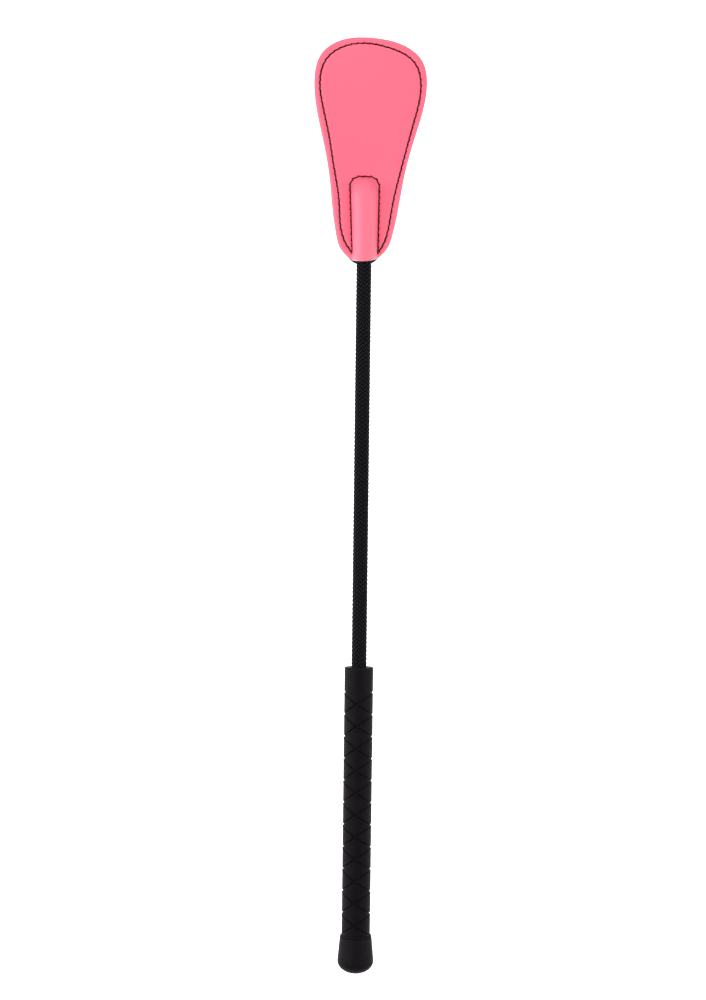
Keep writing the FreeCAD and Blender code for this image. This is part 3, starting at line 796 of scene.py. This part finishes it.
def inside_outline(points, ring):
    """True for points inside the closed outline, by counting crossings."""
    following = np.roll(ring, -1, axis=0)
    x, y = points[:, 0][:, None], points[:, 1][:, None]
    spans = (ring[:, 1] > y) != (following[:, 1] > y)
    rise = following[:, 1] - ring[:, 1]
    rise[rise == 0] = 1e-9
    crossing = (following[:, 0] - ring[:, 0]) * (y - ring[:, 1]) / rise + ring[:, 0]
    return ((spans & (x < crossing)).sum(1) % 2) == 1


def pocket_inside(points):
    """True for points over the shaft's pocket."""
    up = points[:, 1] - TONGUE_BASE
    return (np.abs(points[:, 0]) < POCKET_TOP + 1.5) & (up < POCKET_HEIGHT + 1)


def fill_outline(base):
    """Triangles over the outline. Returns the points, the triangles and the outline's point numbers."""
    outline, points = panel_points(base)
    count = len(outline)
    made = delaunay_2d_cdt([Vector(p) for p in points], [], [list(range(count))], 1, 1e-4)
    flat = np.array([tuple(v) for v in made[0]])
    number_of = {}
    for new, olds in enumerate(made[3]):
        for old in olds:
            number_of[old] = new
    rim = []
    for i in range(count):
        if not rim or rim[-1] != number_of[i]:
            rim.append(number_of[i])
    return flat, np.array(made[2]), np.array(rim)


def solid_panel(name, flat, triangles, rim, top, bottom, materials):
    """Closes a top and a bottom surface over the same triangles with a wall round the outline."""
    count = len(flat)
    points = np.concatenate([np.column_stack([flat, top]), np.column_stack([flat, bottom])])
    following = np.roll(rim, -1)
    wall = np.stack([rim, rim + count, following + count, following], 1)
    faces = [*triangles.tolist(), *(triangles[:, ::-1] + count).tolist(), *wall.tolist()]
    piece = new_piece(name, points, faces, materials[0])
    bm = bmesh.new()
    bm.from_mesh(piece.data)
    bmesh.ops.recalc_face_normals(bm, faces=bm.faces)
    bm.to_mesh(piece.data)
    bm.free()
    for material in materials[1:]:
        piece.data.materials.append(material)
    return piece


def bend_with_tongue(piece):
    """Bakes the piece's transform into its mesh."""
    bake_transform(piece)


def make_tongue(materials):
    """Pink front panel over the shaft, interlining, and the flat black back panel."""
    base = base_line(0.6, FRONT_TRIM)
    flat, triangles, rim = fill_outline(base)
    sides, _ = to_sides(flat)
    to_base, _ = Nearest(resample(base, 0.1))(flat)
    arch = bulge(flat)
    drop = rounding(sides, 2.7, 1.95) * np.clip(to_base / 3 + 0.4, 0, 1) + rounding(to_base, 0.9, 0.5)
    top = FRONT_TOP + arch + seam_relief(flat) + ripple(flat, RIPPLE_SIZE, FRONT_RIPPLE) - drop
    step = 0.05
    slope_x = (bulge(flat + [step, 0]) - bulge(flat - [step, 0])) / (2 * step)
    slope_y = (bulge(flat + [0, step]) - bulge(flat - [0, step])) / (2 * step)
    steep = np.minimum(np.sqrt(1 + slope_x ** 2 + slope_y ** 2), 1.9)
    thick = FRONT_TOP - CORE_TOP
    under = np.minimum(np.maximum(CORE_TOP + 0.02, FRONT_TOP + arch - thick * steep), top - 0.3)
    front = solid_panel("tongue_front", flat, triangles, rim, top, under,
                        [materials["pink_leather"], materials["cut_edge"]])
    mark_cut_edge(front, Nearest(resample(base, 0.1)))
    # The bulge's height share paints a highlight over the raised pocket.
    store_tone_and_painted_light(front, np.tile(arch / arch.max(), 2))
    sharpen(front, 55)
    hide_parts("tongue_front_root", "tongue_front_flap")
    bend_with_tongue(front)

    base = base_line(0.6, 0)
    flat, triangles, rim = fill_outline(base)
    sides, _ = to_sides(flat)
    to_base, _ = Nearest(resample(base, 0.1))(flat)
    drop = rounding(np.minimum(sides, to_base), 0.9, 0.8)
    bottom = BACK_BOTTOM - seam_relief(flat) * BACK_RELIEF + ripple(flat, RIPPLE_SIZE, BACK_RIPPLE) + drop
    back = solid_panel("tongue_back", flat, triangles, rim, np.full(len(flat), BACK_TOP - 0.02), bottom,
                       [materials["black_leather"]])
    # The back panel gets no painted highlight, only the painted light towards its base.
    store_tone_and_painted_light(back, np.zeros(2 * len(flat)))
    sharpen(back, 55)
    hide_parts("tongue_back_root", "tongue_back_flap")
    bend_with_tongue(back)
    make_interlining(materials)


def store_tone_and_painted_light(panel, bulge_highlight):
    """How pale each place of the leather is: a slight random drift, a painted highlight over the raised bulge
    and painted light towards the base.
    """
    points = np.array([v.co[:2] for v in panel.data.vertices]) / MM
    # painted light: the leather is made paler below the bending line, towards the base
    painted_base_light = np.clip((TONGUE_BEND - points[:, 1]) / 30, 0, 1)
    # painted highlight: the leather is paler the higher the bulge over the shaft rises
    tone = np.clip(0.2 + ripple(points, 40, 0.2) + 0.35 * np.sqrt(bulge_highlight) + 0.3 * painted_base_light, 0, 1)
    set_tone(panel, tone)


def mark_cut_edge(panel, to_base):
    """The wall along the tongue's base shows the leather's pale cut edge."""
    for face in panel.data.polygons:
        if abs(face.normal.z) < 0.5:
            distance, _ = to_base([(face.center.x / MM, face.center.y / MM)])
            if distance[0] < 0.15:
                face.material_index = 1


def make_interlining(materials):
    """Thin board between the panels, slotted for the shaft."""
    half, top = 3.2, SHAFT_TIP + 3.2
    base = base_line(1.2, CORE_TRIM)
    sides = side_curve(1.5, 0.35)
    sides = sides[inside_outline(sides, np.concatenate([side_curve(1.5), base[1:-1]]))]
    left = base[(base[:, 0] < -half) & (base[:, 0] > sides[-1][0])]
    right = base[(base[:, 0] > half) & (base[:, 0] < sides[0][0])]
    slot = [(-half, left[-1][1]), (-half, top), (half, top), (half, right[0][1])]
    ring = [tuple(p) for p in (*sides, *left, *slot, *right)]
    rows = [(x, y) for y in np.arange(TONGUE_BEND - 14, TONGUE_BEND + 14, 1.5) for x in np.arange(-21, 24, 3)]
    made = delaunay_2d_cdt([Vector(p) for p in ring + rows], [], [list(range(len(ring)))], 1, 1e-4)
    flat, triangles = np.array([tuple(v) for v in made[0]]), np.array(made[2])
    number_of = {old: new for new, olds in enumerate(made[3]) for old in olds}
    rim = np.array([number_of[i] for i in range(len(ring))])
    core = solid_panel("tongue_interlining", flat, triangles, rim, np.full(len(flat), CORE_TOP),
                       np.full(len(flat), BACK_TOP), [materials["board"]])
    sharpen(core, 40)
    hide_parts("tongue_core_root", "tongue_core_flap")
    bend_with_tongue(core)


# ------------------------------------------------------------------ the stitching
THREAD_RADIUS = 0.4
KNOT_RADIUS = 0.4
KNOT_STRETCH = 1.7
STITCH_SLANT = 0.26


def front_height(points):
    """Height of the front panel's surface without its dimples."""
    return FRONT_TOP + bulge(points) - seam_sink(points) + ripple(points, RIPPLE_SIZE, FRONT_RIPPLE)


def back_height(points):
    """Height of the back panel's surface without its dimples."""
    return BACK_BOTTOM + BACK_RELIEF * seam_sink(points) + ripple(points, RIPPLE_SIZE, BACK_RIPPLE)


def stitch_tubes(holes, height, side):
    """Each stitch is a slanted loop of thread from hole to hole, with a small knot where it goes in."""
    points, faces, uvs = [], [], []
    away = inward(holes)
    ring, steps = 8, 11
    section = np.linspace(0, 2 * math.pi, ring, endpoint=False)
    for i in range(len(holes) - 1):
        jitter = RANDOM.uniform(-0.09, 0.09, 3)
        t = np.linspace(0.02, 0.98, steps)
        line = holes[i] + (holes[i + 1] - holes[i]) * t[:, None]
        normal = away[i] * (1 - t[:, None]) + away[i + 1] * t[:, None]
        line = line + normal * ((0.5 - t) * 2 * STITCH_SLANT + jitter[0] * np.sin(math.pi * t))[:, None]
        lift = np.clip(np.minimum(t, 1 - t) / 0.14, 0, 1) ** 0.6
        z = height(line) + side * (THREAD_RADIUS * 0.55 * lift - 0.75 * (1 - lift) + jitter[1] * 0.5 * lift)
        path = np.column_stack([line, z])
        tangent = np.gradient(path, axis=0)
        tangent /= np.linalg.norm(tangent, axis=1)[:, None]
        across = np.cross(tangent, [0, 0, 1.0])
        across /= np.linalg.norm(across, axis=1)[:, None]
        above = np.cross(across, tangent)
        radius = THREAD_RADIUS * (0.82 + 0.18 * np.sin(math.pi * t)) * (1 + jitter[2])
        circle = np.cos(section)[None, :, None] * across[:, None, :]
        circle = circle + np.sin(section)[None, :, None] * above[:, None, :]
        loop = path[:, None, :] + radius[:, None, None] * circle
        start = len(points) * steps * ring
        points.append(loop.reshape(-1, 3))
        quads = grid_faces(steps, ring, start)
        faces += quads.tolist()
        faces.append(list(range(start + ring - 1, start - 1, -1)))
        faces.append(list(range(start + (steps - 1) * ring, start + steps * ring)))
        walked = t * STITCH_PITCH
        uvs.append(np.stack([np.repeat(walked, ring), np.tile(section / (2 * math.pi), steps)], -1))
    count = len(points) * steps * ring
    for hole, outward in zip(holes, -away):
        knot, quads = knot_points(hole, outward, height, side)
        points.append(knot)
        faces += (quads + count).tolist()
        uvs.append(np.zeros((len(knot), 2)))
        count += len(knot)
    return np.concatenate(points), faces, np.concatenate(uvs)


def knot_points(hole, outward, height, side):
    """A flattened drop of thread, longer across the seam, where the stitch goes into the leather."""
    rows, ring = 7, 8
    place = hole + outward * 0.35
    level = height(np.array([place]))[0] + side * 0.08
    lift = np.linspace(-math.pi / 2, math.pi / 2, rows)[:, None]
    around = np.linspace(0, 2 * math.pi, ring, endpoint=False)[None, :]
    spread = KNOT_RADIUS * np.maximum(np.cos(lift), 0.05)
    along = np.array([-outward[1], outward[0]])
    out, aside = spread * np.cos(around) * KNOT_STRETCH, spread * np.sin(around)
    x = place[0] + outward[0] * out + along[0] * aside
    y = place[1] + outward[1] * out + along[1] * aside
    z = level + 0.7 * KNOT_RADIUS * np.sin(lift) + 0 * around
    return np.stack([x, y, z], -1).reshape(-1, 3), grid_faces(rows, ring)


def make_stitching(materials):
    """Both seams, on the front and on the back."""
    seams = (
        ("edge_seam_front", EDGE_HOLES, front_height, 1, ("edge_stitches_root", "edge_stitches_flap")),
        ("edge_seam_back", EDGE_HOLES, back_height, -1, ()),
        ("pocket_seam_front", POCKET_HOLES, front_height, 1, ("pocket_stitches",)),
        ("pocket_seam_back", POCKET_HOLES, back_height, -1, ()),
    )
    for name, holes, height, side, nodes in seams:
        points, faces, uvs = stitch_tubes(holes, height, side)
        seam = new_piece(name, points, faces, materials["seam_thread"], uvs)
        if nodes:
            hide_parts(*nodes)
        if name.startswith("edge"):
            bend_with_tongue(seam)
        else:
            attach(seam, "shaft")


# ------------------------------------------------------------------ CAD pieces that stay
def finish_inner_pieces():
    """The hidden CAD pieces keep their shapes and get moulded plastic or bound thread."""
    plastic, shader = shader_of("moulded_plastic", (0.05, 0.05, 0.053), 0.55)
    place = add_node(plastic, "ShaderNodeTexCoord").outputs["Object"]
    bump(plastic, shader, noise(plastic, place, 900, 3.0), 0.04, 0.3)
    bound, shader = shader_of("bound_thread", (0.03, 0.03, 0.032), 0.7)
    place = add_node(bound, "ShaderNodeTexCoord").outputs["Object"]
    turns = add_node(bound, "ShaderNodeTexWave", {"Vector": place}, bands_direction="Y", Scale=320.0)
    bump(bound, shader, turns.outputs["Fac"], 0.12, 0.8)
    for node in ("handle_tube", "handle_top_bush", "handle_butt_plug", "rod_tip_cap"):
        frame["nodes"][node].data.materials.clear()
        frame["nodes"][node].data.materials.append(plastic)
    for node in ("butt_whipping", "tip_whipping"):
        frame["nodes"][node].data.materials.clear()
        frame["nodes"][node].data.materials.append(bound)


make_camera()
make_stage()
looks = make_materials()
make_grip(looks)
make_cap(looks)
make_shaft(looks)
make_tongue(looks)
make_stitching(looks)
finish_inner_pieces()
